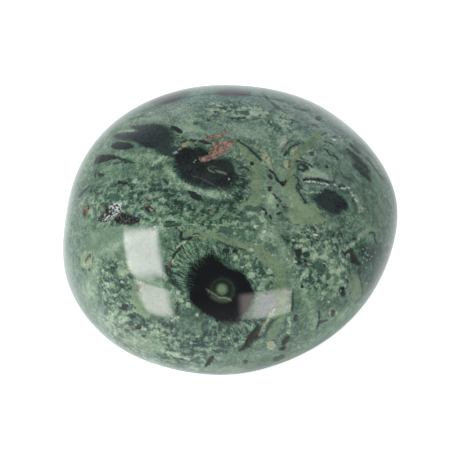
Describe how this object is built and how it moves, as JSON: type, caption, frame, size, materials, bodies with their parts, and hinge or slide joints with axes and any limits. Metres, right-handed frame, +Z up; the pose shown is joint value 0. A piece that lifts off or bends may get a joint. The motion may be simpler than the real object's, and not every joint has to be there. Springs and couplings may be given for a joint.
{
  "type": "polished kambaba jasper hand stone",
  "caption": "Rounded, polished green jasper pebble with black eyes, small open pits on its upper side and a flat ground foot that it stands on; held in the palm or set out as an ornament.",
  "frame": {"origin": "centre of the stone's outline as seen from above, on the surface it stands on", "axes": "+X along the stone to its blunt nose, +Z up, and -Y towards the side with the large eye, where the picture looks from"},
  "size_m": [0.0602, 0.0546, 0.0362],
  "materials": {
    "jasper": "polished to a wet gloss, green mottled ground with black eyes and olive bands"
  },
  "bodies": {
    "root": {"stone": "jasper"}
  },
  "joints": []
}
